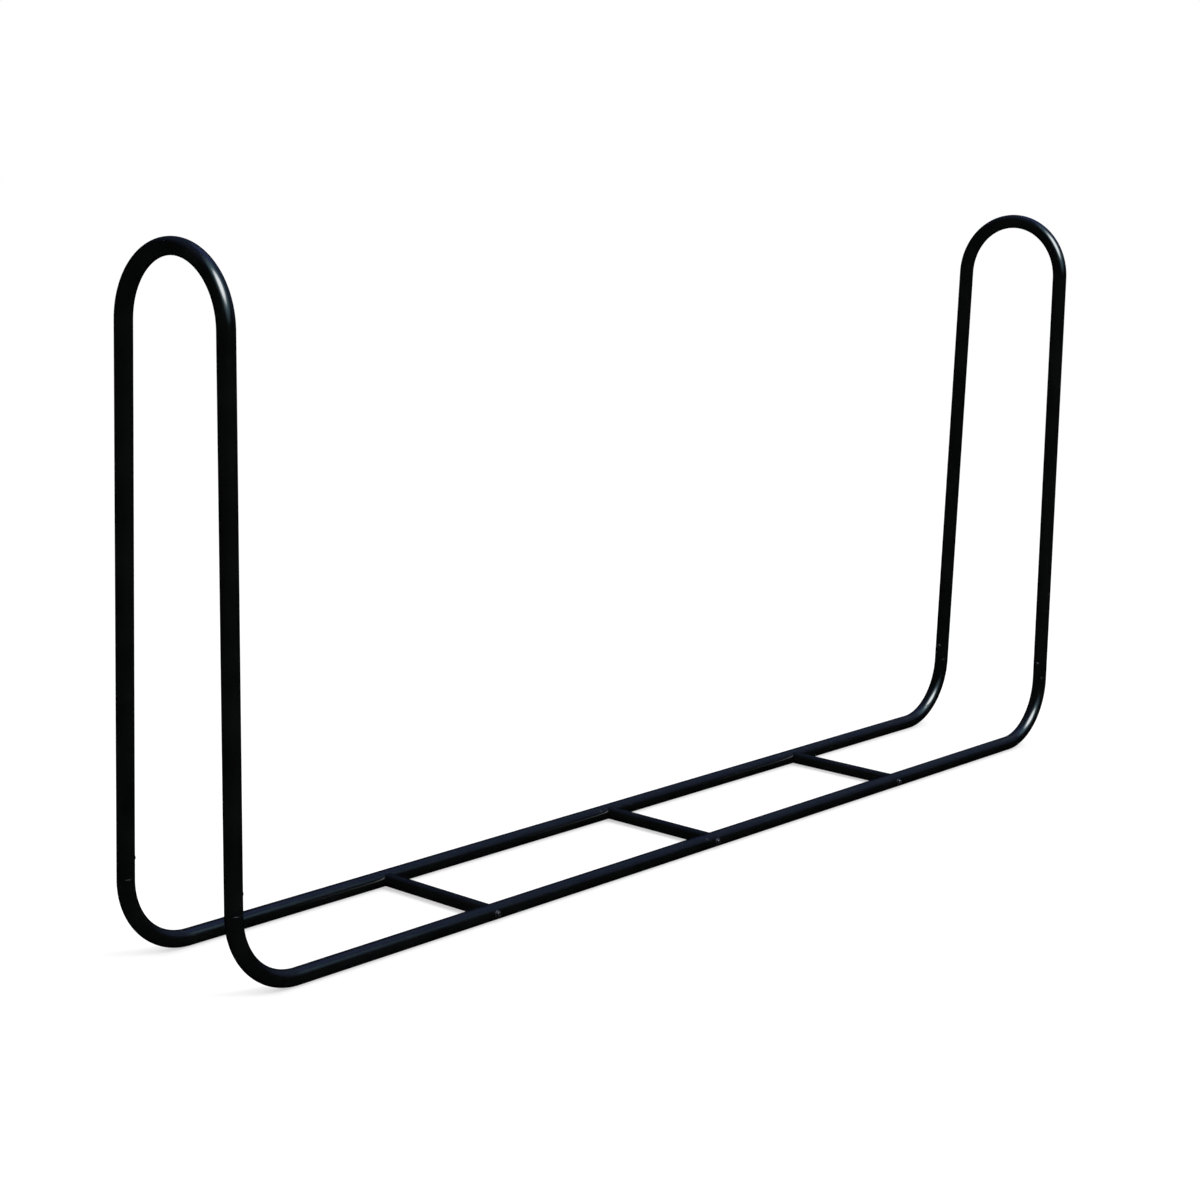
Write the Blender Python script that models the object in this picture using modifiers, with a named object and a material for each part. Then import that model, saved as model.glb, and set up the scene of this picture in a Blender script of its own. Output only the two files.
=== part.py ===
"""Firewood log rack: two arched end hoops standing on four bent base rails.

Metres, +Z up. X runs along the rack, the front is -Y, and the origin is on the ground below
the middle of the rack. The tubes are real tubes: each narrowed end slides into its neighbour.
"""

from math import cos, pi, radians, sin
from typing import NamedTuple

import bmesh
import bpy
from mathutils import Matrix, Vector


class Screw(NamedTuple):
    length: float
    head_height: float
    socket_depth: float


# Driving dimensions of the rack
RACK_LENGTH = 2.44
RACK_DEPTH = 0.300
RACK_HEIGHT = 1.190
TUBE_RADIUS = 0.015
TUBE_WALL = 0.0015
BEND_RADIUS = 0.130
LEG_LEAN = radians(0.75)
CROSS_BAR_SPACING = 0.620
CROSS_BAR_RADIUS = 0.0125

# Tube joints: a narrowed end goes this far into the next tube
FIT_GAP = 0.0003
SWAGE_RADIUS = TUBE_RADIUS - TUBE_WALL - FIT_GAP
SWAGE_STEP = 0.0025
SWAGE_LENGTH = 0.060
ELBOW_STRAIGHT = 0.002

# M6 fasteners
SCREW_RADIUS = 0.003
SCREW_HOLE_RADIUS = SCREW_RADIUS + FIT_GAP
SCREW_TIP_CHAMFER = 0.0006
HEAD_RADIUS = 0.00525
SOCKET_FLATS = 0.004
RAIL_BOLT = Screw(length=0.045, head_height=0.0033, socket_depth=0.0020)
LEG_SCREW = Screw(length=0.012, head_height=0.0022, socket_depth=0.0013)
WASHER_RADIUS = 0.007
WASHER_THICKNESS = 0.0012
NUT_FLATS = 0.010
NUT_HEIGHT = 0.006
PLUG_LENGTH = 0.014

# Facets: the flats of every tube lie on its true radius
TUBE_SIDES = 16
ARCH_STEPS = 20
ELBOW_STEPS = 10
ROUND_STEPS = 16
MERGE_DISTANCE = 0.00001

# Places that follow from the sizes above
LEG_X = RACK_LENGTH / 2 - TUBE_RADIUS
RAIL_Y = RACK_DEPTH / 2 - TUBE_RADIUS
LEG_FOOT = BEND_RADIUS + ELBOW_STRAIGHT + SWAGE_STEP
STUB_TOP = LEG_FOOT + SWAGE_LENGTH
LEG_SCREW_HEIGHT = LEG_FOOT + SWAGE_LENGTH / 2
SPLICE_X = -SWAGE_LENGTH / 2
SEAT_RADIUS = TUBE_RADIUS + FIT_GAP
BOLT_SEAT = SEAT_RADIUS + WASHER_THICKNESS + FIT_GAP
CROSS_BARS = {"left": -CROSS_BAR_SPACING, "centre": 0.0, "right": CROSS_BAR_SPACING}
SIDES = {"front": -1, "back": 1}
ENDS = {"left": -1, "right": 1}

AXIS_TO_X = Matrix.Rotation(pi / 2, 4, "Y")
AXIS_TO_Y = Matrix.Rotation(-pi / 2, 4, "X")


def clear_scene():
    for obj in list(bpy.data.objects):
        bpy.data.objects.remove(obj, do_unlink=True)
    for collection in list(bpy.data.collections):
        bpy.data.collections.remove(collection)


def new_collection(name):
    collection = bpy.data.collections.new(name)
    bpy.context.scene.collection.children.link(collection)
    return collection


def principled(name, color, roughness, metallic):
    material = bpy.data.materials.new(name)
    material.use_nodes = True
    shader = material.node_tree.nodes["Principled BSDF"]
    shader.inputs["Base Color"].default_value = (*color, 1.0)
    shader.inputs["Roughness"].default_value = roughness
    shader.inputs["Metallic"].default_value = metallic
    material.diffuse_color = (*color, 1.0)
    return material


def add_object(name, mesh, collection, material=None):
    obj = bpy.data.objects.new(name, mesh)
    collection.objects.link(obj)
    if material:
        mesh.materials.clear()
        mesh.materials.append(material)
        mesh.shade_smooth()
        mesh.set_sharp_from_angle(angle=radians(30))
    return obj


def boolean(obj, operation, cutter):
    modifier = obj.modifiers.new(f"{operation.lower()}_{cutter.name}", "BOOLEAN")
    modifier.operation = operation
    modifier.object = cutter
    modifier.solver = "EXACT"


def cylinder_mesh(name, radius, length, sides):
    """A cylinder along Z about the origin, its flat sides on the radius and one towards +X."""
    mesh = bpy.data.meshes.new(name)
    bm = bmesh.new()
    corner = radius / cos(pi / sides)
    bmesh.ops.create_cone(
        bm, cap_ends=True, segments=sides, radius1=corner, radius2=corner, depth=length
    )
    # create_cone puts its first corner on +Y
    turn = Matrix.Rotation(pi / 2 - pi / sides, 3, "Z")
    bmesh.ops.rotate(bm, verts=bm.verts, cent=(0, 0, 0), matrix=turn)
    bm.to_mesh(mesh)
    bm.free()
    return mesh


def add_cutter(name, radius, length, placing, sides=ROUND_STEPS):
    cutter = add_object(name, cylinder_mesh(name, radius, length, sides), CUTTERS)
    cutter.matrix_world = placing
    cutter.hide_render = True
    cutter.display_type = "WIRE"
    return cutter


def arc(centre, radius, start, end, steps):
    """Points of an arc in the drawing plane, angles in radians, both ends included."""
    angles = [start + (end - start) * i / steps for i in range(steps + 1)]
    return [(centre[0] + radius * cos(a), centre[1] + radius * sin(a)) for a in angles]


def add_tube(name, path, material, placing, radius=TUBE_RADIUS, tilt=0.0):
    """A tube along a path drawn in its own XY plane: points are (x, y, outer radius)."""
    curve = bpy.data.curves.new(name, "CURVE")
    curve.dimensions = "3D"
    curve.twist_mode = "Z_UP"
    curve.bevel_depth = radius / cos(pi / TUBE_SIDES)
    curve.bevel_resolution = TUBE_SIDES // 2 - 2
    spline = curve.splines.new("POLY")
    spline.points.add(len(path) - 1)
    for point, (x, y, outer) in zip(spline.points, path):
        point.co = (x, y, 0.0, 1.0)
        point.radius = outer / radius
        point.tilt = pi / TUBE_SIDES + tilt
    guide = bpy.data.objects.new(name + "_path", curve)
    PARTS.objects.link(guide)
    graph = bpy.context.evaluated_depsgraph_get()
    mesh = bpy.data.meshes.new_from_object(guide.evaluated_get(graph))
    mesh.name = name
    bpy.data.objects.remove(guide, do_unlink=True)
    tube = add_object(name, mesh, PARTS, material)
    tube.matrix_world = placing
    wall = tube.modifiers.new("wall", "SOLIDIFY")
    wall.thickness = TUBE_WALL
    wall.offset = -1.0
    wall.use_even_offset = True
    return tube


def add_hoop(end, sign):
    """An arch and its two legs, which open a little towards the ground."""
    clear_height = RACK_HEIGHT - 2 * TUBE_RADIUS
    radius = (RAIL_Y * cos(LEG_LEAN) - clear_height * sin(LEG_LEAN)) / (1 - sin(LEG_LEAN))
    centre = (0.0, RACK_HEIGHT - TUBE_RADIUS - radius)
    foot_y = RAIL_Y - LEG_FOOT * sin(LEG_LEAN)
    foot_z = TUBE_RADIUS + LEG_FOOT * cos(LEG_LEAN)
    arch = arc(centre, radius, pi - LEG_LEAN, LEG_LEAN, ARCH_STEPS)
    outline = [(-foot_y, foot_z), *arch, (foot_y, foot_z)]
    path = [(y, z, TUBE_RADIUS) for y, z in outline]
    stand_across = Matrix.Rotation(pi / 2, 4, "Z") @ Matrix.Rotation(pi / 2, 4, "X")
    placing = Matrix.Translation((sign * LEG_X, 0, 0)) @ stand_across
    return add_tube(f"{end}_hoop", path, HOOP_ENAMEL, placing)


def base_rail_path(sign):
    """From the narrowed top of the corner, round the bend and along to the splice."""
    top = [
        (LEG_X, STUB_TOP, SWAGE_RADIUS),
        (LEG_X, LEG_FOOT, SWAGE_RADIUS),
        (LEG_X, LEG_FOOT - SWAGE_STEP, TUBE_RADIUS),
    ]
    bend = arc((LEG_X - BEND_RADIUS, BEND_RADIUS), BEND_RADIUS, 0.0, -pi / 2, ELBOW_STEPS)
    corner = top + [(x, y, TUBE_RADIUS) for x, y in bend]
    if sign < 0:
        splice = [
            (SPLICE_X - SWAGE_STEP, 0.0, TUBE_RADIUS),
            (SPLICE_X, 0.0, SWAGE_RADIUS),
            (SPLICE_X + SWAGE_LENGTH, 0.0, SWAGE_RADIUS),
        ]
    else:
        splice = [(SPLICE_X, 0.0, TUBE_RADIUS)]
    return [(sign * x, y, outer) for x, y, outer in corner] + splice


def add_base_rail(side, side_sign, end, end_sign):
    """Half of a ground rail with the corner that turns up into the hoop's leg."""
    upright = Matrix.Rotation(pi / 2 + side_sign * LEG_LEAN, 4, "X")
    placing = Matrix.Translation((0, side_sign * RAIL_Y, TUBE_RADIUS)) @ upright
    tilt = end_sign * side_sign * LEG_LEAN
    path = base_rail_path(end_sign)
    return add_tube(f"{side}_{end}_base_rail", path, RAIL_ENAMEL, placing, tilt=tilt)


def add_cross_bar(name, x):
    """A tube between the rails, its ends hollowed out to sit against them."""
    path = [(-RAIL_Y, 0.0, CROSS_BAR_RADIUS), (RAIL_Y, 0.0, CROSS_BAR_RADIUS)]
    placing = Matrix.Translation((x, 0, TUBE_RADIUS)) @ Matrix.Rotation(pi / 2, 4, "Z")
    bar = add_tube(f"{name}_cross_bar", path, BAR_ENAMEL, placing, radius=CROSS_BAR_RADIUS)
    for side, sign in SIDES.items():
        seat = Matrix.Translation((x, sign * RAIL_Y, TUBE_RADIUS)) @ AXIS_TO_X
        length = 4 * CROSS_BAR_RADIUS
        cutter = add_cutter(f"{bar.name}_{side}_seat", SEAT_RADIUS, length, seat, TUBE_SIDES)
        boolean(bar, "DIFFERENCE", cutter)


def add_plug(name, placing):
    """A threaded plug, fixed inside the end of a cross bar. Its face is at the origin."""
    radius = CROSS_BAR_RADIUS - TUBE_WALL - FIT_GAP
    plug = add_object(name, cylinder_mesh(name, radius, PLUG_LENGTH, TUBE_SIDES), PARTS, PLUG_STEEL)
    plug.matrix_world = placing @ Matrix.Translation((0, 0, -PLUG_LENGTH / 2))
    cutter = add_cutter(f"{name}_thread", SCREW_HOLE_RADIUS, 2 * PLUG_LENGTH, plug.matrix_world)
    boolean(plug, "DIFFERENCE", cutter)


def screw_profile(kind):
    """The outline of a button head screw, from the top of its head to its tip."""
    dome_steps = 4
    angles = [i * pi / 2 / dome_steps for i in range(dome_steps + 1)]
    dome = [(HEAD_RADIUS * sin(a), kind.head_height * cos(a)) for a in angles]
    shank = [
        (SCREW_RADIUS, 0.0),
        (SCREW_RADIUS, SCREW_TIP_CHAMFER - kind.length),
        (SCREW_RADIUS - SCREW_TIP_CHAMFER, -kind.length),
        (0.0, -kind.length),
    ]
    return dome + shank


def add_screw(name, kind, placing):
    """A button head screw along -Z: the underside of its head is at the origin."""
    mesh = bpy.data.meshes.new(name)
    profile = [(x, 0.0, z) for x, z in screw_profile(kind)]
    mesh.from_pydata(profile, [(i, i + 1) for i in range(len(profile) - 1)], [])
    screw = add_object(name, mesh, PARTS, SCREW_ZINC)
    turned = screw.modifiers.new("turned", "SCREW")
    turned.steps = ROUND_STEPS
    turned.render_steps = ROUND_STEPS
    turned.use_merge_vertices = True
    turned.merge_threshold = MERGE_DISTANCE
    screw.matrix_world = placing
    socket = placing @ Matrix.Translation((0, 0, kind.head_height))
    cutter = add_cutter(f"{name}_socket", SOCKET_FLATS / 2, 2 * kind.socket_depth, socket, 6)
    boolean(screw, "DIFFERENCE", cutter)


def add_arc_washer(name, placing):
    """A thin disc bent round the rail. The rail's centre is at the origin, the screw along Z."""
    length = 2 * SEAT_RADIUS
    mesh = cylinder_mesh(name, WASHER_RADIUS, length, ROUND_STEPS)
    washer = add_object(name, mesh, PARTS, WASHER_ZINC)
    washer.matrix_world = placing @ Matrix.Translation((0, 0, length / 2))
    rail = Matrix.Translation(placing.translation) @ AXIS_TO_X
    outer = SEAT_RADIUS + WASHER_THICKNESS
    outside = add_cutter(f"{name}_outside", outer, 4 * WASHER_RADIUS, rail, TUBE_SIDES)
    inside = add_cutter(f"{name}_inside", SEAT_RADIUS, 5 * WASHER_RADIUS, rail, TUBE_SIDES)
    hole = add_cutter(f"{name}_hole", SCREW_HOLE_RADIUS, 3 * length, placing)
    boolean(washer, "INTERSECT", outside)
    boolean(washer, "DIFFERENCE", inside)
    boolean(washer, "DIFFERENCE", hole)


def add_weld_nut(name, placing, tube_axis):
    """A hexagon nut inside a tube, its outer face shaped to the tube's inner wall."""
    inner = SWAGE_RADIUS - TUBE_WALL - FIT_GAP
    nut = add_object(name, cylinder_mesh(name, NUT_FLATS / 2, 2 * NUT_HEIGHT, 6), PARTS, NUT_STEEL)
    nut.matrix_world = placing @ Matrix.Translation((0, 0, inner))
    tube = Matrix.Translation(placing.translation) @ tube_axis
    wall = add_cutter(f"{name}_wall", inner, 4 * NUT_FLATS, tube, TUBE_SIDES)
    hole = add_cutter(f"{name}_thread", SCREW_HOLE_RADIUS, 6 * NUT_HEIGHT, placing)
    boolean(nut, "INTERSECT", wall)
    boolean(nut, "DIFFERENCE", hole)


def add_rail_fastening(side, side_sign, name, x, rails):
    """The bolt that pulls a rail against the end of a cross bar, with its washer and plug."""
    centre = Vector((x, side_sign * RAIL_Y, TUBE_RADIUS))
    outwards = AXIS_TO_Y if side_sign > 0 else Matrix.Rotation(pi / 2, 4, "X")
    placing = Matrix.Translation(centre) @ outwards
    hole = add_cutter(f"{side}_{name}_rail_hole", SCREW_HOLE_RADIUS, 3 * TUBE_RADIUS, placing)
    for rail in rails:
        boolean(rail, "DIFFERENCE", hole)
    seat = placing @ Matrix.Translation((0, 0, BOLT_SEAT))
    add_screw(f"{side}_{name}_rail_bolt", RAIL_BOLT, seat)
    add_arc_washer(f"{side}_{name}_rail_washer", placing)
    face = placing @ Matrix.Translation((0, 0, -SEAT_RADIUS))
    add_plug(f"{name}_cross_bar_{side}_plug", face)


def add_leg_fastening(side, side_sign, end, end_sign, hoop, rail):
    """The screw that locks a hoop's leg on its corner, from the side of the logs."""
    y = side_sign * (RAIL_Y - LEG_SCREW_HEIGHT * sin(LEG_LEAN))
    z = TUBE_RADIUS + LEG_SCREW_HEIGHT * cos(LEG_LEAN)
    inwards = Matrix.Rotation(-end_sign * pi / 2, 4, "Y")
    placing = Matrix.Translation((end_sign * LEG_X, y, z)) @ inwards
    reach = placing @ Matrix.Translation((0, 0, TUBE_RADIUS))
    hole = add_cutter(f"{side}_{end}_leg_hole", SCREW_HOLE_RADIUS, TUBE_RADIUS, reach)
    boolean(hoop, "DIFFERENCE", hole)
    boolean(rail, "DIFFERENCE", hole)
    seat = placing @ Matrix.Translation((0, 0, SEAT_RADIUS))
    leg_axis = Matrix.Rotation(side_sign * LEG_LEAN, 4, "X")
    add_screw(f"{side}_{end}_leg_screw", LEG_SCREW, seat)
    add_weld_nut(f"{side}_{end}_leg_nut", placing, leg_axis)


def build_rack():
    hoops = {end: add_hoop(end, sign) for end, sign in ENDS.items()}
    rails = {
        (side, end): add_base_rail(side, side_sign, end, end_sign)
        for side, side_sign in SIDES.items()
        for end, end_sign in ENDS.items()
    }
    for name, x in CROSS_BARS.items():
        add_cross_bar(name, x)
        ends = ENDS if name == "centre" else [name]
        for side, side_sign in SIDES.items():
            bolted = [rails[side, end] for end in ends]
            add_rail_fastening(side, side_sign, name, x, bolted)
    for (side, end), rail in rails.items():
        add_leg_fastening(side, SIDES[side], end, ENDS[end], hoops[end], rail)


clear_scene()
PARTS = new_collection("firewood_log_rack")
CUTTERS = new_collection("cutters")
HOOP_ENAMEL = principled("hoop_enamel", (0.012, 0.013, 0.016), 0.28, 0.0)
RAIL_ENAMEL = principled("base_rail_enamel", (0.012, 0.013, 0.017), 0.30, 0.0)
BAR_ENAMEL = principled("cross_bar_enamel", (0.013, 0.014, 0.017), 0.32, 0.0)
SCREW_ZINC = principled("screw_black_zinc", (0.030, 0.030, 0.033), 0.38, 0.9)
WASHER_ZINC = principled("washer_black_zinc", (0.035, 0.035, 0.038), 0.42, 0.9)
PLUG_STEEL = principled("plug_steel", (0.50, 0.50, 0.52), 0.40, 1.0)
NUT_STEEL = principled("nut_steel", (0.46, 0.46, 0.48), 0.42, 1.0)
build_rack()
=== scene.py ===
"""Looks of the firewood log rack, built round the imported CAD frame.

Metres, +Z up, in the CAD's own frame: X runs along the rack and its front is -Y. Each CAD tube
and fastener is replaced by a finer piece of the same size in the same place.
"""

from math import ceil, cos, pi, radians, sin, sqrt
from typing import NamedTuple

import bmesh
import bpy
from mathutils import Matrix, Vector


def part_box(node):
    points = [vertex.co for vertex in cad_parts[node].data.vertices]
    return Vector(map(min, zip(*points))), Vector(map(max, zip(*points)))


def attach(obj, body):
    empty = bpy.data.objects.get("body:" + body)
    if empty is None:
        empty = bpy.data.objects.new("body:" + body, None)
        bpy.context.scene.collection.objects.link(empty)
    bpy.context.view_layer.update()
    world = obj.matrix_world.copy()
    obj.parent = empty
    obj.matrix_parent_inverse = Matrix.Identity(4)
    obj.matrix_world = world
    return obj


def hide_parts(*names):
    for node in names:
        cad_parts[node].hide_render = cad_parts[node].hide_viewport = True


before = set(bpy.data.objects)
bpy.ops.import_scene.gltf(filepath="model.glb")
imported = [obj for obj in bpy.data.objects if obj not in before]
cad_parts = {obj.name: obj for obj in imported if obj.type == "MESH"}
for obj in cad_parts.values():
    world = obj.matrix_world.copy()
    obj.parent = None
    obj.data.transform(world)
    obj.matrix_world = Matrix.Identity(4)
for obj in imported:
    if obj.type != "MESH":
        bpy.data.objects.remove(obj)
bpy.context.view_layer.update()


class Screw(NamedTuple):
    length: float
    threaded: float
    head_height: float
    socket_depth: float


class DomeLight(NamedTuple):
    """A round patch of light on the dome: full up to one angle from its middle, faded at another."""

    towards: Vector
    full: float
    faded: float
    color: tuple
    power: float


# Tubes
TUBE_RADIUS = 0.015
TUBE_WALL = 0.0015
FIT_GAP = 0.0003
SWAGE_RADIUS = TUBE_RADIUS - TUBE_WALL - FIT_GAP
SWAGE_LENGTH = 0.060
SHOULDER = 0.0010
BEND_RADIUS = 0.130
BEND_END = 0.0045
LEG_LEAN = radians(0.75)
LEG_FOOT = BEND_RADIUS + BEND_END
STUB_TOP = LEG_FOOT + SWAGE_LENGTH
CROSS_BAR_RADIUS = 0.0125
COPE_REACH = 0.020
LIP = 0.0004
BEND_FLATTENING = 0.025

# M6 fasteners
SEAT_RADIUS = TUBE_RADIUS + FIT_GAP
WASHER_RADIUS = 0.007
WASHER_THICKNESS = 0.0012
WASHER_EDGE = 0.00025
BOLT_SEAT = SEAT_RADIUS + WASHER_THICKNESS + FIT_GAP
HEAD_RADIUS = 0.00525
HEAD_FLAT = 0.0029
HEAD_RIM = 0.0004
HEAD_EDGE = 0.0001
SOCKET_FLATS = 0.004
SOCKET_POINT = 0.0004
SOCKET_MOUTH = 0.00245
SOCKET_LEAD = 0.00025
SHANK_RADIUS = 0.0029
SHANK_FILLET = 0.0003
THREAD_CREST = 0.0030
THREAD_ROOT = 0.00245
THREAD_PITCH = 0.001
TIP_LENGTH = 0.0006
TIP_CHAMFER = 0.0005
BORE_RADIUS = 0.0033
RAIL_BOLT = Screw(length=0.045, threaded=0.022, head_height=0.0030, socket_depth=0.0020)
LEG_SCREW = Screw(length=0.012, threaded=0.010, head_height=0.0020, socket_depth=0.0012)
PLUG_LENGTH = 0.014
PLUG_RADIUS = CROSS_BAR_RADIUS - TUBE_WALL - FIT_GAP
PLUG_CHAMFER = 0.0005
NUT_ROUNDING = 0.0003

# Fineness of the meshes
TUBE_SIDES = 56
ROUND_SIDES = 36
STRAIGHT_STEP = 0.060
BESIDE = 0.0012
BEND_STEP = radians(2.5)
CORNER_STEPS = 4
SHOULDER_STEPS = 8
CROSS_BAR_STEPS = 24
COPE_STEPS = 6
HEAD_STEPS = 8
THREAD_STEPS = 5
SHARP_ANGLE = radians(35)

# Colours
# Enamel's own near-black, with a faint cool cast painted in as a reflection of the blue sky
ENAMEL_SKY_TINTED = (0.0018, 0.0020, 0.0021)
ENAMEL_DARK_SKY_TINTED = (0.0013, 0.0015, 0.0015)
ENAMEL_LIGHT_SKY_TINTED = (0.0024, 0.0027, 0.0028)
RUBBED_ENAMEL = (0.012, 0.013, 0.014)
DUST = (0.050, 0.045, 0.038)
SCREW_ZINC = (0.030, 0.030, 0.033)
WASHER_ZINC = (0.036, 0.036, 0.039)
WORN_ZINC = (0.30, 0.30, 0.31)
PLUG_STEEL = (0.50, 0.50, 0.52)
NUT_STEEL = (0.46, 0.46, 0.48)
STEEL_STAIN = (0.30, 0.26, 0.21)
WHITE = (1.0, 1.0, 1.0)
BLACK = (0.0, 0.0, 0.0)

# Sockets of the colour kind of the Mix node, by place
MIX_SHARE, MIX_FIRST, MIX_SECOND, MIX_RESULT = 0, 6, 7, 2

# Studio
FLOOR_RADIUS = 40.0
FLOOR_WHITE = 0.50
DOME_RADIUS = 60.0
SOFTBOX_DISTANCE = 5
SOFTBOX_SIZE = 2.4
SOFTBOX_POWER = 120
SOFTBOX_TARGET = (0, 0, 0.5)

# The photograph's view, from beyond the left end and a little above the rack
CAMERA_PLACE = (-3.5937, -2.9199, 1.3832)
CAMERA_YAW = radians(49.345)
CAMERA_PITCH = radians(11.221)
CAMERA_ROLL = radians(1.489)
CAMERA_LENS = 73.14
CAMERA_SENSOR = 36

# Places, read from the frame
HOOP_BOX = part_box("right_hoop")
LEG_X = (HOOP_BOX[0].x + HOOP_BOX[1].x) / 2
RACK_HEIGHT = HOOP_BOX[1].z
RAIL_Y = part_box("back_right_base_rail")[1].y - TUBE_RADIUS
SPLICE_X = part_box("front_right_base_rail")[0].x
SIDES = {"front": -1, "back": 1}
ENDS = {"left": -1, "right": 1}


def centre_of(node):
    low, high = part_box(node)
    return (low + high) / 2


# Meshes


class Route:
    """A flat centre line of straight runs and bends, read by the distance along it."""

    def __init__(self, start, heading, normal):
        self.normal = Vector(normal).normalized()
        self.runs = []
        self.length = 0.0
        self.end = (Vector(start), Vector(heading).normalized())

    def run(self, length, curvature=0.0):
        """Adds a straight run, or a bend that turns about the normal."""
        self.runs.append((self.length, length, *self.end, curvature))
        self.length += length
        self.end = self.at(self.length)

    def bend(self, radius, angle):
        self.run(radius * abs(angle), (1 if angle > 0 else -1) / radius)

    def run_at(self, distance):
        return [run for run in self.runs if run[0] <= distance or run is self.runs[0]][-1]

    def at(self, distance):
        """The centre and the heading at this distance from the start."""
        start, _, point, heading, curvature = self.run_at(distance)
        gone = distance - start
        if not curvature:
            return point + heading * gone, heading
        centre = point + self.normal.cross(heading) / curvature
        turn = Matrix.Rotation(gone * curvature, 3, self.normal)
        return centre + turn @ (point - centre), turn @ heading

    def stations(self):
        """Distances for the rings of a tube: closer together in the bends and right beside them."""
        found = [0.0]
        for start, length, _, _, curvature in self.runs:
            steps = length * abs(curvature) / BEND_STEP if curvature else length / STRAIGHT_STEP
            steps = ceil(steps)
            found += [start + length * (i + 1) / steps for i in range(steps)]
            if not curvature:
                found += [start + BESIDE, start + length - BESIDE]
        return found

    def flattening(self, distance):
        """How much a bend has flattened the tube: most in its middle."""
        start, length, _, _, curvature = self.run_at(distance)
        return BEND_FLATTENING * sin(pi * (distance - start) / length) ** 2 if curvature else 0.0

    def place(self, distance, radius, angle):
        """A point of the tube's surface."""
        centre, heading = self.at(distance)
        side = self.normal.cross(heading) * (1 - self.flattening(distance))
        return centre + radius * (cos(angle) * side + sin(angle) * self.normal)


def smooth_step(share):
    share = min(max(share, 0.0), 1.0)
    return share * share * (3 - 2 * share)


def corner(end, inward, radius, outward):
    """The rounded corner of a tube's end, from the wall to the end face."""
    angles = [i * pi / 2 / CORNER_STEPS for i in range(CORNER_STEPS + 1)]
    return [
        (end + inward * LIP * (1 - sin(a)), radius - outward * LIP * (1 - cos(a))) for a in angles
    ]


def tube_profile(stations, outer):
    """A closed profile of (distance, radius): along the outside and back along the inside."""
    first, last = stations[0], stations[-1]
    beside_first, beside_last = first + BESIDE, last - BESIDE
    between = [s for s in stations if beside_first < s < beside_last]
    between = [beside_first, *between, beside_last]
    start_in = corner(first, 1, outer(first) - TUBE_WALL, -1)
    start_out = corner(first, 1, outer(first), 1)
    end_out = corner(last, -1, outer(last), 1)
    end_in = corner(last, -1, outer(last) - TUBE_WALL, -1)
    outside = [(s, outer(s)) for s in between]
    inside = [(s, outer(s) - TUBE_WALL) for s in reversed(between)]
    return start_out[::-1] + outside + end_out + end_in[::-1] + inside + start_in


def add_piece(name, mesh, material, slot, *nodes):
    """Links a mesh as a piece that rides on the rack and stands for these CAD nodes."""
    piece = bpy.data.objects.new(name, mesh)
    bpy.context.scene.collection.objects.link(piece)
    mesh.materials.append(material)
    mesh.shade_smooth()
    mesh.set_sharp_from_angle(angle=SHARP_ANGLE)
    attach(piece, "root")
    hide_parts(*nodes)
    return piece


def swept_mesh(name, profile, place, sides, closed=True):
    """A surface from a profile and place(distance, radius, angle), its UVs metres along and round."""
    bm = bmesh.new()
    uv = bm.loops.layers.uv.new("along_and_round")
    angles = [2 * pi * i / sides for i in range(sides)]
    rings = [[bm.verts.new(place(s, r, a)) for a in angles] for s, r in profile]
    last = len(rings) if closed else len(rings) - 1
    for j in range(last):
        k = (j + 1) % len(rings)
        for i in range(sides):
            n = (i + 1) % sides
            face = bm.faces.new((rings[j][i], rings[k][i], rings[k][n], rings[j][n]))
            around = [i, i, i + 1, i + 1]
            along = [profile[j], profile[k], profile[k], profile[j]]
            for loop, turn, (s, _) in zip(face.loops, around, along):
                loop[uv].uv = (s, turn * 2 * pi * TUBE_RADIUS / sides)
    if not closed:
        bm.faces.new(rings[0])
        bm.faces.new(rings[-1][::-1])
    bmesh.ops.recalc_face_normals(bm, faces=bm.faces)
    mesh = bpy.data.meshes.new(name)
    bm.to_mesh(mesh)
    bm.free()
    return mesh


def drill(mesh, holes, length):
    """Cuts round holes through a tube's wall. Each hole is a centre and an axis."""
    bm = bmesh.new()
    for centre, axis in holes:
        turn = Vector(axis).to_track_quat("Z", "Y").to_matrix().to_4x4()
        bmesh.ops.create_cone(
            bm,
            cap_ends=True,
            segments=ROUND_SIDES,
            radius1=BORE_RADIUS,
            radius2=BORE_RADIUS,
            depth=length,
            matrix=Matrix.Translation(centre) @ turn,
        )
    drills = bpy.data.meshes.new("drills")
    bm.to_mesh(drills)
    bm.free()
    pair = [bpy.data.objects.new(m.name, m) for m in (mesh, drills)]
    for obj in pair:
        bpy.context.scene.collection.objects.link(obj)
    cut = pair[0].modifiers.new("cut", "BOOLEAN")
    cut.operation = "DIFFERENCE"
    cut.object = pair[1]
    graph = bpy.context.evaluated_depsgraph_get()
    drilled = bpy.data.meshes.new_from_object(
        pair[0].evaluated_get(graph), preserve_all_data_layers=True, depsgraph=graph
    )
    for obj in pair:
        bpy.data.objects.remove(obj)
    bpy.data.meshes.remove(drills)
    return drilled


# Hoops, rails and cross bars


def leg_direction(side):
    """Up along a leg, which leans in towards the middle of its hoop."""
    return Vector((0, -side * sin(LEG_LEAN), cos(LEG_LEAN)))


def leg_point(side, end, height):
    """A point on a leg's axis, at this height above the rail's axis along the leg."""
    foot = Vector((end * LEG_X, side * RAIL_Y, TUBE_RADIUS))
    return foot + leg_direction(side) * height


def rings_by_hole(distance):
    """Rings on both sides of a hole, so that the cut leaves uneven faces only close to it."""
    return [distance - WASHER_RADIUS, distance + WASHER_RADIUS]


def leg_hole(side, end):
    """The hole for a leg's screw, through the wall on the side of the logs."""
    axis = centre_of(f"{side}_{end}_leg_screw")
    return Vector((ENDS[end] * (LEG_X - TUBE_RADIUS), axis.y, axis.z)), (1, 0, 0)


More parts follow.
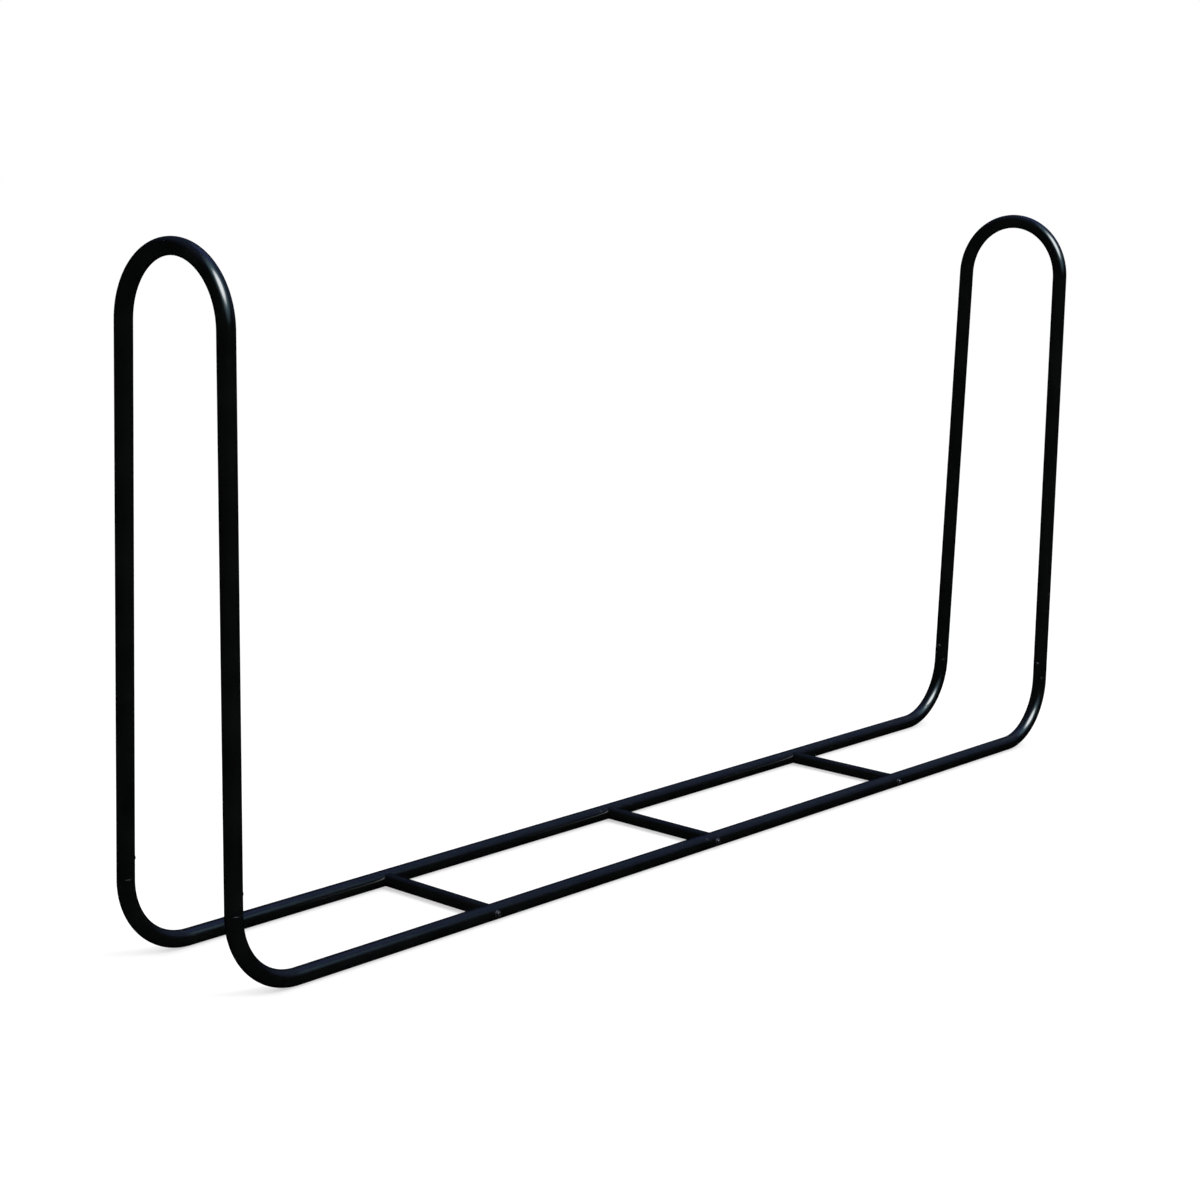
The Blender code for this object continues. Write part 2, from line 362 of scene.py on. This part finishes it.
def add_hoop(end, sign, material):
    """One tube, bent into an arch with two legs that open a little towards the ground."""
    clear = RACK_HEIGHT - 2 * TUBE_RADIUS
    radius = (RAIL_Y * cos(LEG_LEAN) - clear * sin(LEG_LEAN)) / (1 - sin(LEG_LEAN))
    arch_foot = (clear - radius * (1 - sin(LEG_LEAN))) / cos(LEG_LEAN)
    route = Route(leg_point(-1, sign, LEG_FOOT), leg_direction(-1), (-1, 0, 0))
    route.run(arch_foot - LEG_FOOT)
    route.bend(radius, pi - 2 * LEG_LEAN)
    route.run(arch_foot - LEG_FOOT)
    screw = SWAGE_LENGTH / 2
    by_holes = rings_by_hole(screw) + rings_by_hole(route.length - screw)
    profile = tube_profile(sorted(route.stations() + by_holes), lambda s: TUBE_RADIUS)
    mesh = swept_mesh(f"{end}_hoop_tube", profile, route.place, TUBE_SIDES)
    mesh = drill(mesh, [leg_hole(side, end) for side in SIDES], TUBE_RADIUS)
    return add_piece(f"{end}_hoop_tube", mesh, material, "frame_enamel", f"{end}_hoop")


def add_base_rail(side, end, material):
    """Half of a ground rail: narrowed stub, corner, run and, on the left, a narrowed splice."""
    s, e = SIDES[side], ENDS[end]
    up = leg_direction(s)
    route = Route(leg_point(s, e, STUB_TOP), -up, up.cross(Vector((e, 0, 0))))
    route.run(STUB_TOP - BEND_RADIUS)
    route.bend(BEND_RADIUS, pi / 2)
    reach = SPLICE_X if end == "right" else -(SPLICE_X + SWAGE_LENGTH)
    route.run(LEG_X - BEND_RADIUS - reach)
    shoulder = route.length - SWAGE_LENGTH if end == "left" else None

    def outer(distance):
        narrowed = smooth_step((SWAGE_LENGTH - distance) / SHOULDER + 1)
        if shoulder:
            narrowed += smooth_step((distance - shoulder) / SHOULDER + 1)
        return TUBE_RADIUS + (SWAGE_RADIUS - TUBE_RADIUS) * narrowed

    steps = [SHOULDER * i / SHOULDER_STEPS for i in range(SHOULDER_STEPS + 1)]
    steps.append(SHOULDER + BESIDE)
    more = [SWAGE_LENGTH + step for step in steps] + rings_by_hole(SWAGE_LENGTH / 2)
    if shoulder:
        more += [shoulder - step for step in steps]
    bolted = [name for name in ("left", "centre", "right") if name in (end, "centre")]
    holes = []
    for name in bolted:
        axis = centre_of(f"{side}_{name}_rail_bolt")
        holes.append((Vector((axis.x, s * RAIL_Y, axis.z)), (0, 1, 0)))
        more += rings_by_hole(route.length - abs(axis.x - e * reach))
    profile = tube_profile(sorted(set(route.stations() + more)), outer)
    mesh = swept_mesh(f"{side}_{end}_rail_tube", profile, route.place, TUBE_SIDES)
    mesh = drill(mesh, holes, 3 * TUBE_RADIUS)
    mesh = drill(mesh, [leg_hole(side, end)], TUBE_RADIUS)
    name = f"{side}_{end}_base_rail"
    return add_piece(f"{name}_tube", mesh, material, "frame_enamel", name)


def add_cross_bar(name, material):
    """A straight tube, its ends hollowed out to sit against the rails."""
    node = f"{name}_cross_bar"
    middle = Vector((centre_of(node).x, 0, TUBE_RADIUS))
    end = RAIL_Y - SEAT_RADIUS

    def place(distance, radius, angle):
        height = radius * sin(angle)
        deeper = SEAT_RADIUS - sqrt(SEAT_RADIUS**2 - height**2)
        near_end = smooth_step(1 - (end - abs(distance)) / COPE_REACH)
        along = distance + (1 if distance > 0 else -1) * deeper * near_end
        return middle + Vector((radius * cos(angle), along, height))

    stations = [end * (2 * i / CROSS_BAR_STEPS - 1) for i in range(CROSS_BAR_STEPS + 1)]
    for i in range(1, COPE_STEPS):
        by_rail = end - COPE_REACH * i / COPE_STEPS
        stations += [-by_rail, by_rail]
    profile = tube_profile(sorted(stations), lambda s: CROSS_BAR_RADIUS)
    mesh = swept_mesh(f"{node}_tube", profile, place, TUBE_SIDES)
    return add_piece(f"{node}_tube", mesh, material, "frame_enamel", node)


# Fasteners


def hexagon(radius, angle):
    """The distance to a hexagon's edge in this direction, from its half width across flats."""
    return radius / cos((angle + pi / 6) % (pi / 3) - pi / 6)


def thread_radius(depth, angle):
    """A thread's surface: a V that climbs one pitch in each turn."""
    phase = (depth / THREAD_PITCH - angle / (2 * pi)) % 1
    return THREAD_ROOT + (THREAD_CREST - THREAD_ROOT) * abs(2 * phase - 1)


def screw_rows(kind):
    """(height, radius or function of the angle) from the bottom of the socket to the tip."""
    half = SOCKET_FLATS / 2
    top, floor = kind.head_height, kind.head_height - kind.socket_depth
    rows = [
        (floor - SOCKET_POINT, SOCKET_POINT),
        (floor, lambda a: hexagon(half, a)),
        (top - SOCKET_LEAD, lambda a: hexagon(half, a)),
        (top, SOCKET_MOUTH),
        (top, HEAD_FLAT),
    ]
    for i in range(1, HEAD_STEPS + 1):
        a = pi / 2 * i / HEAD_STEPS
        rise = (top - HEAD_RIM) * cos(a)
        rows.append((HEAD_RIM + rise, HEAD_FLAT + (HEAD_RADIUS - HEAD_FLAT) * sin(a)))
    rows += [
        (HEAD_EDGE, HEAD_RADIUS),
        (0.0, HEAD_RADIUS - HEAD_EDGE),
        (0.0, SHANK_RADIUS + SHANK_FILLET),
        (-SHANK_FILLET, SHANK_RADIUS),
        (kind.threaded - kind.length, SHANK_RADIUS),
    ]
    thread_rows = int((kind.threaded - TIP_LENGTH) / THREAD_PITCH * THREAD_STEPS)
    for i in range(1, thread_rows):
        z = kind.threaded - kind.length - i * THREAD_PITCH / THREAD_STEPS
        rows.append((z, lambda a, z=z: thread_radius(z, a)))
    tip = [(TIP_LENGTH - kind.length, THREAD_ROOT), (-kind.length, THREAD_ROOT - TIP_CHAMFER)]
    return rows + tip


def add_turned(name, rows, placing, material, slot, node, closed=False):
    """A piece turned about its Z axis, its radius free to change with the angle."""

    def place(index, _, angle):
        height, radius = rows[index]
        reach = radius(angle) if callable(radius) else radius
        return placing @ Vector((reach * cos(angle), reach * sin(angle), height))

    profile = [(i, 0.0) for i in range(len(rows))]
    mesh = swept_mesh(name, profile, place, ROUND_SIDES, closed)
    return add_piece(name, mesh, material, slot, node)


def add_washer(name, placing, material, node):
    """A washer bent round a rail: placing has its X along the rail and its Z outwards."""
    low, high = SEAT_RADIUS, SEAT_RADIUS + WASHER_THICKNESS
    edge = WASHER_EDGE
    round_edge = 0.3 * edge
    section = [
        (BORE_RADIUS, high - edge),
        (BORE_RADIUS + edge, high),
        (WASHER_RADIUS - edge, high),
        (WASHER_RADIUS - round_edge, high - round_edge),
        (WASHER_RADIUS, high - edge),
        (WASHER_RADIUS, low + edge),
        (WASHER_RADIUS - round_edge, low + round_edge),
        (WASHER_RADIUS - edge, low),
        (BORE_RADIUS + edge, low),
        (BORE_RADIUS, low + edge),
    ]

    def place(reach, shell, angle):
        y = reach * sin(angle)
        return placing @ Vector((reach * cos(angle), y, sqrt(shell**2 - y**2)))

    mesh = swept_mesh(name, section, place, ROUND_SIDES)
    return add_piece(name, mesh, material, "black_zinc", node)


def facing(outwards, tube_axis, centre):
    """A frame at a tube's centre: X along the tube, Z out through the screw."""
    z = Vector(outwards).normalized()
    x = Vector(tube_axis).normalized()
    turn = Matrix((x, z.cross(x), z)).transposed().to_4x4()
    return Matrix.Translation(centre) @ turn


def add_rail_fastening(side, name, screw_finish, washer_finish, plug_finish):
    """The bolt, washer and plug that hold a cross bar to a rail."""
    s = SIDES[side]
    axis = centre_of(f"{side}_{name}_rail_bolt")
    placing = facing((0, s, 0), (1, 0, 0), Vector((axis.x, s * RAIL_Y, axis.z)))
    seat = placing @ Matrix.Translation((0, 0, BOLT_SEAT))
    bolt = f"{side}_{name}_rail_bolt"
    add_turned(f"{bolt}_m6", screw_rows(RAIL_BOLT), seat, screw_finish, "black_zinc", bolt)
    washer = f"{side}_{name}_rail_washer"
    add_washer(f"{washer}_curved", placing, washer_finish, washer)
    plug = f"{name}_cross_bar_{side}_plug"
    rows = [
        (0.0, BORE_RADIUS + PLUG_CHAMFER),
        (0.0, PLUG_RADIUS - PLUG_CHAMFER),
        (-PLUG_CHAMFER, PLUG_RADIUS),
        (PLUG_CHAMFER - PLUG_LENGTH, PLUG_RADIUS),
        (-PLUG_LENGTH, PLUG_RADIUS - PLUG_CHAMFER),
        (-PLUG_LENGTH, BORE_RADIUS + PLUG_CHAMFER),
        (PLUG_CHAMFER - PLUG_LENGTH, BORE_RADIUS),
        (-PLUG_CHAMFER, BORE_RADIUS),
    ]
    face = placing @ Matrix.Translation((0, 0, -SEAT_RADIUS))
    add_turned(f"{plug}_turned", rows, face, plug_finish, "bare_steel", plug, closed=True)


def add_leg_screw(side, end, screw_finish):
    """The low-headed screw that locks a leg on its corner."""
    screw = f"{side}_{end}_leg_screw"
    axis = centre_of(screw)
    centre = Vector((ENDS[end] * LEG_X, axis.y, axis.z))
    placing = facing((-ENDS[end], 0, 0), leg_direction(SIDES[side]), centre)
    seat = placing @ Matrix.Translation((0, 0, SEAT_RADIUS))
    add_turned(f"{screw}_m6", screw_rows(LEG_SCREW), seat, screw_finish, "black_zinc", screw)


def dress_weld_nut(node, material):
    """The CAD nut keeps its shape, with its edges rounded."""
    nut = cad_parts[node]
    nut.data.materials.clear()
    nut.data.materials.append(material)
    rounded = nut.modifiers.new("rounded_edges", "BEVEL")
    rounded.width = NUT_ROUNDING
    rounded.segments = 2
    rounded.limit_method = "ANGLE"


# Finishes


class Finish:
    """A Principled material and short calls for the nodes that feed it."""

    def __init__(self, name, color, roughness, metallic=0.0):
        self.material = bpy.data.materials.new(name)
        self.material.use_nodes = True
        self.nodes = self.material.node_tree.nodes
        self.shader = self.nodes["Principled BSDF"]
        self.shader.inputs["Base Color"].default_value = (*color, 1)
        self.shader.inputs["Roughness"].default_value = roughness
        self.shader.inputs["Metallic"].default_value = metallic
        self.position = self.node("TexCoord").outputs["Object"]

    def node(self, kind, **inputs):
        made = self.nodes.new(f"ShaderNode{kind}")
        for name, value in inputs.items():
            self.feed(made.inputs[name.replace("_", " ")], value)
        return made

    def feed(self, socket, value):
        if isinstance(value, bpy.types.NodeSocket):
            self.material.node_tree.links.new(value, socket)
        else:
            socket.default_value = value

    def noise(self, scale, detail=2.0, roughness=0.5, vector=None):
        made = self.node("TexNoise", Scale=scale, Detail=detail, Roughness=roughness)
        self.feed(made.inputs["Vector"], vector or self.position)
        return made.outputs["Fac"]

    def spread(self, value, low, high, to_low=0.0, to_high=1.0):
        """Stretches low..high to a new range, with nothing past its ends."""
        ends = {"From_Min": low, "From_Max": high, "To_Min": to_low, "To_Max": to_high}
        return self.node("MapRange", Value=value, **ends).outputs["Result"]

    def maths(self, operation, first, second):
        made = self.node("Math")
        made.operation = operation
        self.feed(made.inputs[0], first)
        self.feed(made.inputs[1], second)
        return made.outputs[0]

    def mix(self, share, first, second):
        made = self.node("Mix")
        made.data_type = "RGBA"
        self.feed(made.inputs[MIX_SHARE], share)
        for index, color in ((MIX_FIRST, first), (MIX_SECOND, second)):
            self.feed(made.inputs[index], (*color, 1) if isinstance(color, tuple) else color)
        return made.outputs[MIX_RESULT]

    def along_tube(self, along, around):
        """The tube's own coordinates, scaled: along its length and round it."""
        scaled = self.node("Mapping", Vector=self.uv())
        scaled.inputs["Scale"].default_value = (along, around, 1)
        return scaled.outputs["Vector"]

    def uv(self):
        made = self.node("UVMap")
        made.uv_map = "along_and_round"
        return made.outputs["UV"]

    def upwards(self):
        """The height of the surface's normal, 1 on top."""
        split = self.node("SeparateXYZ", Vector=self.node("NewGeometry").outputs["Normal"])
        return split.outputs["Z"]

    def bumps(self, *layers):
        """Bump layers of (height, distance in metres), one on another."""
        normal = None
        for height, distance in layers:
            made = self.node("Bump", Height=height, Distance=distance)
            if normal:
                self.feed(made.inputs["Normal"], normal)
            normal = made.outputs["Normal"]
        self.feed(self.shader.inputs["Normal"], normal)


def enamel(name, dust, rubbing):
    """Glossy near-black enamel with a faint cool cast painted into its colour as a sky reflection, a
    little dust on top and rub marks from the logs.
    """
    finish = Finish(name, ENAMEL_SKY_TINTED, roughness=0.14)
    shade = finish.spread(finish.noise(14, detail=3), 0.35, 0.7)
    paint = finish.mix(shade, ENAMEL_DARK_SKY_TINTED, ENAMEL_LIGHT_SKY_TINTED)
    specks = finish.spread(finish.noise(700, detail=3, roughness=0.6), 0.56, 0.74)
    drifts = finish.spread(finish.noise(22, detail=4, roughness=0.6), 0.42, 0.72)
    top = finish.spread(finish.upwards(), 0.35, 1.0)
    dusty = finish.maths("MULTIPLY", finish.maths("MULTIPLY", specks, drifts), top)
    dusty = finish.maths("MULTIPLY", dusty, dust)
    lengthwise = finish.along_tube(along=26, around=900)
    streaks = finish.noise(1, detail=3, roughness=0.55, vector=lengthwise)
    streaks = finish.spread(streaks, 0.63, 0.70)
    patches = finish.spread(finish.noise(9, detail=2), 0.52, 0.62)
    rubbed = finish.maths("MULTIPLY", finish.maths("MULTIPLY", streaks, patches), rubbing)
    paint = finish.mix(rubbed, paint, RUBBED_ENAMEL)
    paint = finish.mix(dusty, paint, DUST)
    finish.feed(finish.shader.inputs["Base Color"], paint)
    dull = finish.spread(finish.noise(30, detail=3), 0.3, 0.7, to_low=0.11, to_high=0.17)
    dull = finish.maths("ADD", dull, finish.maths("MULTIPLY", rubbed, 0.25))
    dull = finish.maths("ADD", dull, finish.maths("MULTIPLY", dusty, 0.5))
    finish.feed(finish.shader.inputs["Roughness"], dull)
    peel = finish.noise(360, detail=2, roughness=0.45)
    wave = finish.noise(40, detail=1)
    finish.bumps((wave, 0.00012), (peel, 0.00004))
    return finish.material


def black_zinc(name, color, roughness):
    """Thin black plating: satin, cloudy, with the steel showing in the finest scratches."""
    finish = Finish(name, color, roughness, metallic=0.9)
    cloud = finish.spread(finish.noise(420, detail=3), 0.35, 0.7)
    base = finish.mix(cloud, color, tuple(1.7 * c for c in color))
    bright = finish.spread(finish.noise(2400, detail=4, roughness=0.7), 0.68, 0.74)
    base = finish.mix(finish.maths("MULTIPLY", bright, 0.5), base, WORN_ZINC)
    finish.feed(finish.shader.inputs["Base Color"], base)
    dull = finish.noise(900, detail=2)
    dull = finish.spread(dull, 0.3, 0.7, to_low=roughness - 0.08, to_high=roughness + 0.1)
    finish.feed(finish.shader.inputs["Roughness"], dull)
    finish.bumps((finish.noise(2600, detail=3), 0.000012))
    return finish.material


def bare_steel(name, color, roughness):
    """Machined steel with a thin film of oil and faint heat marks."""
    finish = Finish(name, color, roughness, metallic=1.0)
    stain = finish.spread(finish.noise(300, detail=4), 0.45, 0.75)
    finish.feed(finish.shader.inputs["Base Color"], finish.mix(stain, color, STEEL_STAIN))
    dull = finish.noise(1400, detail=3)
    dull = finish.spread(dull, 0.3, 0.7, to_low=roughness - 0.08, to_high=roughness + 0.12)
    finish.feed(finish.shader.inputs["Roughness"], dull)
    finish.bumps((finish.noise(3200, detail=2), 0.00001))
    return finish.material


# Studio


def add_stage(name, mesh, material):
    """Links a part of the studio, which isn't part of the rack."""
    mesh.materials.append(material)
    obj = bpy.data.objects.new(name, mesh)
    bpy.context.scene.collection.objects.link(obj)
    return obj


def add_floor():
    """A floor that glows by what its paint swallows, so that it is as white as the background."""
    mesh = bpy.data.meshes.new("studio_floor")
    bm = bmesh.new()
    bmesh.ops.create_circle(bm, cap_ends=True, segments=96, radius=FLOOR_RADIUS)
    bm.to_mesh(mesh)
    bm.free()
    paint = Finish("studio_floor_paint", (FLOOR_WHITE,) * 3, 0.9)
    paint.shader.inputs["Specular IOR Level"].default_value = 0.0
    paint.shader.inputs["Emission Color"].default_value = (*WHITE, 1)
    paint.shader.inputs["Emission Strength"].default_value = 1 - FLOOR_WHITE
    floor = add_stage("studio_floor", mesh, paint.material)
    floor.visible_glossy = False


def direction(azimuth, elevation):
    """A unit vector, from the angle from +X towards +Y and the height above the ground, in degrees."""
    a, e = radians(azimuth), radians(elevation)
    return Vector((cos(a) * cos(e), sin(a) * cos(e), sin(e)))


def add_dome(*lights):
    """A dark dome with lights, which only reflections see."""
    mesh = bpy.data.meshes.new("studio_dome")
    bm = bmesh.new()
    bmesh.ops.create_icosphere(bm, subdivisions=4, radius=DOME_RADIUS)
    bm.to_mesh(mesh)
    bm.free()
    glow = Finish("studio_dome_glow", BLACK, roughness=1.0)
    total = None
    for light in lights:
        facing_it = glow.node("VectorMath")
        facing_it.operation = "DOT_PRODUCT"
        glow.feed(facing_it.inputs[0], glow.position)
        facing_it.inputs[1].default_value = light.towards / DOME_RADIUS
        faded, full = cos(radians(light.faded)), cos(radians(light.full))
        share = glow.spread(facing_it.outputs["Value"], faded, full)
        share.node.interpolation_type = "SMOOTHSTEP"
        lit = glow.node("VectorMath")
        lit.operation = "SCALE"
        lit.inputs[0].default_value = [light.power * c for c in light.color]
        glow.feed(lit.inputs["Scale"], share)
        if total:
            added = glow.node("VectorMath")
            glow.feed(added.inputs[0], total)
            glow.feed(added.inputs[1], lit.outputs["Vector"])
            total = added.outputs["Vector"]
        else:
            total = lit.outputs["Vector"]
    glow.feed(glow.shader.inputs["Emission Color"], total)
    glow.shader.inputs["Emission Strength"].default_value = 1.0
    glow.shader.inputs["Specular IOR Level"].default_value = 0.0
    glow.material.cycles.emission_sampling = "NONE"
    dome = add_stage("studio_dome", mesh, glow.material)
    dome.visible_camera = False
    dome.visible_diffuse = False
    dome.visible_transmission = False
    dome.visible_shadow = False


def add_softbox(towards):
    """A square studio lamp that lights the rack and casts its shadow. Reflections don't see it."""
    lamp = bpy.data.lights.new("key", "AREA")
    lamp.shape = "SQUARE"
    lamp.size = SOFTBOX_SIZE
    lamp.energy = SOFTBOX_POWER
    obj = bpy.data.objects.new("key", lamp)
    bpy.context.scene.collection.objects.link(obj)
    obj.location = towards * SOFTBOX_DISTANCE
    aim = Vector(SOFTBOX_TARGET) - obj.location
    obj.rotation_euler = aim.to_track_quat("-Z", "Y").to_euler()
    obj.visible_camera = False
    obj.visible_glossy = False


def add_world():
    """A white background, which reflections don't see."""
    world = bpy.data.worlds.new("studio_white")
    bpy.context.scene.world = world
    world.use_nodes = True
    world.node_tree.nodes["Background"].inputs["Color"].default_value = (*WHITE, 1)
    world.cycles_visibility.glossy = False


def add_camera():
    data = bpy.data.cameras.new("camera")
    data.lens = CAMERA_LENS
    data.sensor_width = CAMERA_SENSOR
    camera = bpy.data.objects.new("camera", data)
    bpy.context.scene.collection.objects.link(camera)
    turn = Matrix.Rotation(-CAMERA_YAW, 4, "Z")
    turn = turn @ Matrix.Rotation(pi / 2 - CAMERA_PITCH, 4, "X")
    turn = turn @ Matrix.Rotation(CAMERA_ROLL, 4, "Z")
    camera.matrix_world = Matrix.Translation(CAMERA_PLACE) @ turn
    bpy.context.scene.camera = camera


def build_rack():
    hoop_paint = enamel("hoop_enamel_gloss", dust=0.25, rubbing=0.25)
    rail_paint = enamel("rail_enamel_gloss", dust=0.45, rubbing=0.55)
    bar_paint = enamel("cross_bar_enamel_gloss", dust=0.40, rubbing=0.35)
    screw_finish = black_zinc("screw_plating", SCREW_ZINC, roughness=0.36)
    washer_finish = black_zinc("washer_plating", WASHER_ZINC, roughness=0.42)
    plug_finish = bare_steel("plug_bare_steel", PLUG_STEEL, roughness=0.36)
    nut_finish = bare_steel("nut_bare_steel", NUT_STEEL, roughness=0.42)
    for end, sign in ENDS.items():
        add_hoop(end, sign, hoop_paint)
        for side in SIDES:
            add_base_rail(side, end, rail_paint)
            add_leg_screw(side, end, screw_finish)
            dress_weld_nut(f"{side}_{end}_leg_nut", nut_finish)
    for name in ("left", "centre", "right"):
        add_cross_bar(name, bar_paint)
        for side in SIDES:
            add_rail_fastening(side, name, screw_finish, washer_finish, plug_finish)


def light_studio():
    add_world()
    add_floor()
    key = direction(-97, 50)
    add_dome(
        DomeLight(key, full=8, faded=26, color=WHITE, power=17),
        DomeLight(direction(-92, 50), full=15, faded=47, color=(0.47, 0.83, 1.0), power=2.1),
        DomeLight(direction(-12, 38), full=12, faded=42, color=(0.36, 0.52, 1.0), power=0.15),
        DomeLight(direction(18, 66), full=6, faded=24, color=(0.22, 0.30, 1.0), power=0.6),
        DomeLight(direction(0, 72), full=10, faded=75, color=(0.30, 0.46, 1.0), power=0.2),
    )
    add_softbox(key)


build_rack()
light_studio()
add_camera()
bpy.context.scene.view_settings.view_transform = "Standard"
